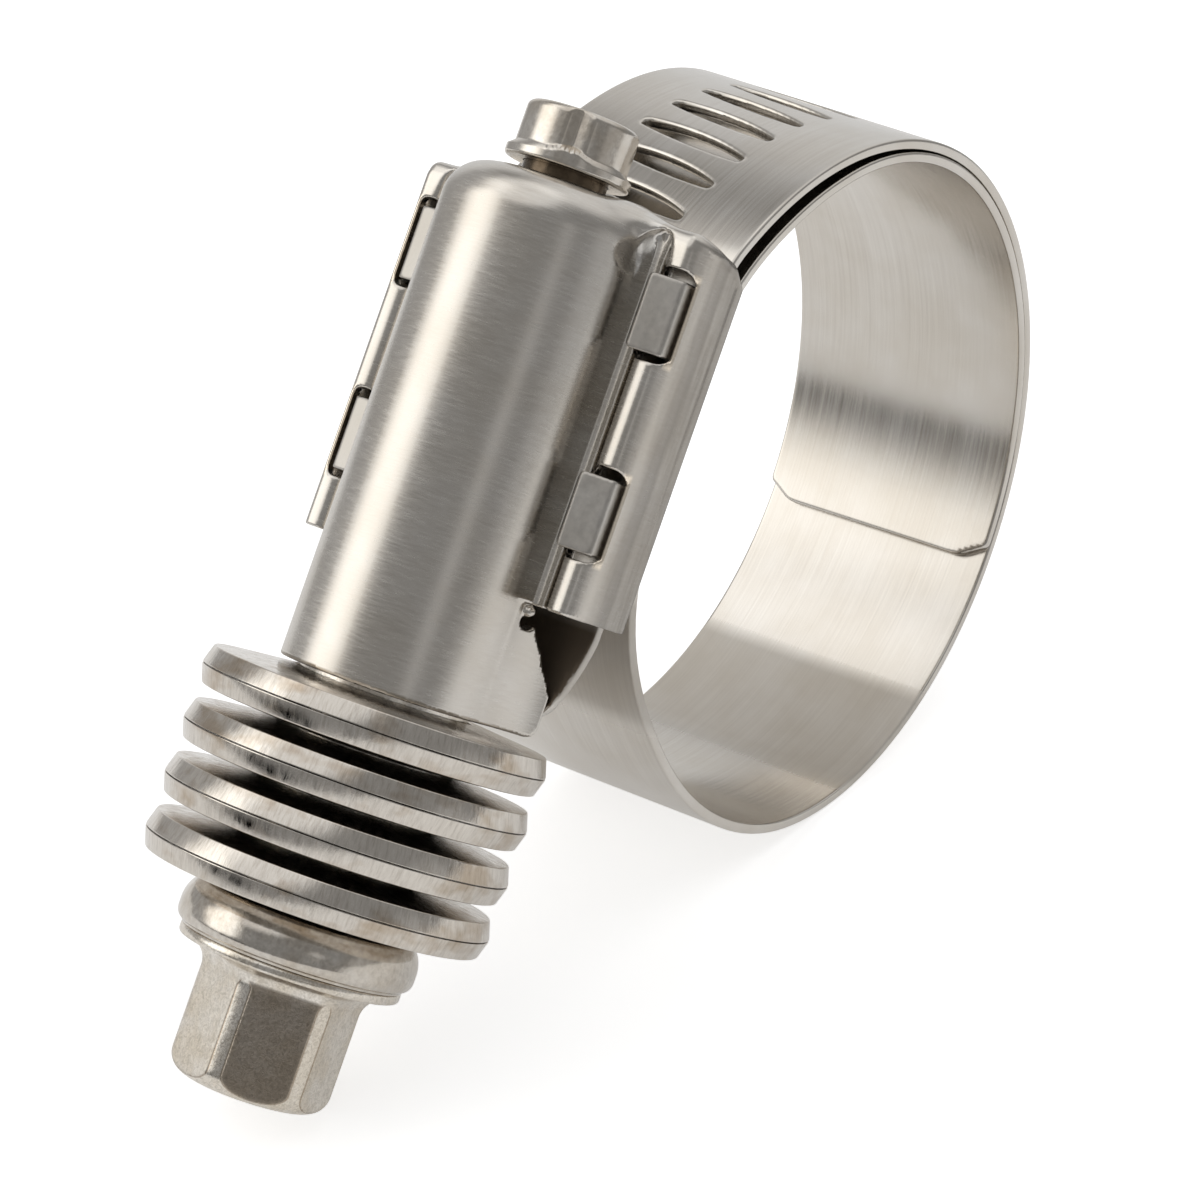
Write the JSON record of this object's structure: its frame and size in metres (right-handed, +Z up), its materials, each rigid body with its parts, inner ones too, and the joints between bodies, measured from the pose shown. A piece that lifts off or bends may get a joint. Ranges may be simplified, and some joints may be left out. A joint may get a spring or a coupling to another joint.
{
  "type": "constant torque clamp",
  "caption": "Worm-drive hose clamp with a lined perforated band, a locked-on screw housing and a stack of disc springs under the hex head.",
  "frame": {"origin": "centre of the band's loop, midway along its width", "axes": "+Y along the loop's axis, +Z up; the loop and the hex head of the screw both stand on the lowest level"},
  "size_m": [0.0676, 0.0188, 0.0474],
  "materials": {
    "band_steel": "fine lengthwise brushing",
    "housing_steel": "satin, grain round the barrel",
    "saddle_steel": "satin, bright cut edges",
    "spring_steel": "turned and ground rims",
    "collar_steel": "smooth, worn",
    "screw_steel": "cold formed, matte flats",
    "ferrule_steel": "pressed, shiny"
  },
  "bodies": {
    "clamp": {"band": "band_steel", "housing": "housing_steel", "saddle": "saddle_steel"},
    "collar": {"thrust_collar": "collar_steel"},
    "screw": {"screw": "screw_steel", "end_ferrule": "ferrule_steel"},
    "spring_pair_1": {"washer_1": "spring_steel", "washer_2": "spring_steel"},
    "spring_pair_2": {"washer_3": "spring_steel", "washer_4": "spring_steel"},
    "spring_pair_3": {"washer_5": "spring_steel", "washer_6": "spring_steel"},
    "spring_pair_4": {"washer_7": "spring_steel", "washer_8": "spring_steel"}
  },
  "joints": [
    {"name": "screw_travel", "type": "slide", "parent": "clamp", "child": "collar", "axis": [0.5704, 0, 0.8214], "range_m": [0, 0.0028], "stiffness_N_per_m": 3000, "deforming": ["washer_1", "washer_2", "washer_3", "washer_4", "washer_5", "washer_6", "washer_7", "washer_8"]},
    {"name": "screw_turn", "type": "hinge", "parent": "collar", "child": "screw", "pos_m": [-0.03965, 0, -0.01196], "axis": [0.5704, 0, 0.8214], "continuous": true},
    {"name": "spring_pair_1_travel", "type": "slide", "parent": "clamp", "child": "spring_pair_1", "axis": [0.5704, 0, 0.8214], "range_m": [0, 0.00035]},
    {"name": "spring_pair_2_travel", "type": "slide", "parent": "clamp", "child": "spring_pair_2", "axis": [0.5704, 0, 0.8214], "range_m": [0, 0.00105]},
    {"name": "spring_pair_3_travel", "type": "slide", "parent": "clamp", "child": "spring_pair_3", "axis": [0.5704, 0, 0.8214], "range_m": [0, 0.00175]},
    {"name": "spring_pair_4_travel", "type": "slide", "parent": "clamp", "child": "spring_pair_4", "axis": [0.5704, 0, 0.8214], "range_m": [0, 0.00245]}
  ],
  "couplings": [
    {"joint": "spring_pair_1_travel", "follows": "screw_travel", "ratio": 0.125},
    {"joint": "spring_pair_2_travel", "follows": "screw_travel", "ratio": 0.375},
    {"joint": "spring_pair_3_travel", "follows": "screw_travel", "ratio": 0.625},
    {"joint": "spring_pair_4_travel", "follows": "screw_travel", "ratio": 0.875}
  ]
}
